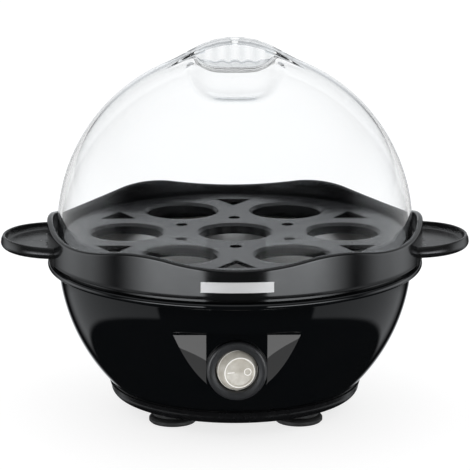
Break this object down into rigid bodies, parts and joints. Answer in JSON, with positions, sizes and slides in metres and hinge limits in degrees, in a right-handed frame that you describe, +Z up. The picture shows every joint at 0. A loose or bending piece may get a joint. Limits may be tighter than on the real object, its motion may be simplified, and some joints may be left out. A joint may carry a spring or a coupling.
{
  "type": "egg cooker",
  "caption": "Bowl-shaped steam egg cooker with side handles, a wavy collar, an egg tray over a water dish, a clear dome lid with a grip and a round rocker switch.",
  "frame": {"origin": "centre of the space between the feet on the surface it stands on, on the bowl's vertical axis", "axes": "+Z up; -Y is the front with the switch; +X is to the right seen from the front, through the right handle"},
  "size_m": [0.1974, 0.158, 0.1574],
  "materials": {
    "gloss_black": "high-gloss black moulded plastic",
    "cover_black": "fine-textured black plastic",
    "collar_black": "semi-gloss black plastic",
    "handle_black": "semi-gloss black plastic",
    "tray_black": "semi-gloss black plastic",
    "clear_lid": "clear moulded plastic",
    "foot_rubber": "soft black rubber",
    "plate_silver": "brushed, blank",
    "dish_steel": "satin stainless steel",
    "screw_steel": "zinc-plated steel",
    "spring_steel": "bright spring steel",
    "seal_silicone": "translucent silicone",
    "spreader_aluminium": "cast",
    "element_sheath": "sheathed tube",
    "white_ceramic": "glazed",
    "brown_phenolic": "moulded phenolic",
    "switch_black": "satin dark grey plastic",
    "rocker_clear": "frosted clear plastic with I and O marks",
    "contact_brass": "bright",
    "lamp_glass": "neon lamp",
    "gland_black": "moulded",
    "wire_brown": "silicone insulation",
    "wire_grey": "braided sleeve",
    "wire_blue": "silicone insulation",
    "wire_green": "silicone insulation"
  },
  "bodies": {
    "base": {"base_housing": "gloss_black", "bottom_cover": "cover_black", "bottom_screws": "screw_steel", "foot_front_left": "foot_rubber", "foot_front_right": "foot_rubber", "foot_rear_left": "foot_rubber", "foot_rear_right": "foot_rubber", "collar_ring": "collar_black", "badge_plate": "plate_silver", "handle_left": "handle_black", "handle_right": "handle_black", "handle_screws": "screw_steel", "heating_plate": "dish_steel", "plate_seal": "seal_silicone", "heat_spreader": "spreader_aluminium", "heating_element": "element_sheath", "element_sleeves": "white_ceramic", "plate_standoffs": "screw_steel", "clamp_screws": "screw_steel", "thermostat": "brown_phenolic", "thermostat_bracket": "spring_steel", "bracket_screws": "screw_steel", "thermal_fuse": "white_ceramic", "fuse_clip": "spring_steel", "switch_body": "switch_black", "switch_terminals": "contact_brass", "switch_lamp": "lamp_glass", "terminal_block": "white_ceramic", "terminal_screws": "contact_brass", "cord_gland": "gland_black", "gland_nut": "gland_black", "wire_block_to_switch": "wire_brown", "wire_switch_to_thermostat": "wire_brown", "wire_thermostat_to_element": "wire_grey", "wire_element_to_fuse": "wire_grey", "wire_fuse_to_block": "wire_blue", "wire_lamp_return": "wire_blue", "wire_earth": "wire_green"},
    "lid": {"lid_dome": "clear_lid"},
    "tray": {"egg_tray": "tray_black"},
    "rocker": {"switch_rocker": "rocker_clear"}
  },
  "joints": [
    {"name": "lid_lift", "type": "slide", "parent": "base", "child": "lid", "axis": [0, 0, 1], "range_m": [0, 0.15]},
    {"name": "tray_lift", "type": "slide", "parent": "base", "child": "tray", "axis": [0, 0, 1], "range_m": [0, 0.06]},
    {"name": "rocker_tilt", "type": "hinge", "parent": "base", "child": "rocker", "pos_m": [0, -0.0651, 0.0335], "axis": [0, 0, -1], "range_deg": [0, 24]}
  ],
  "couplings": [
    {"joint": "tray_lift", "follows": "lid_lift", "ratio": 0.4}
  ]
}
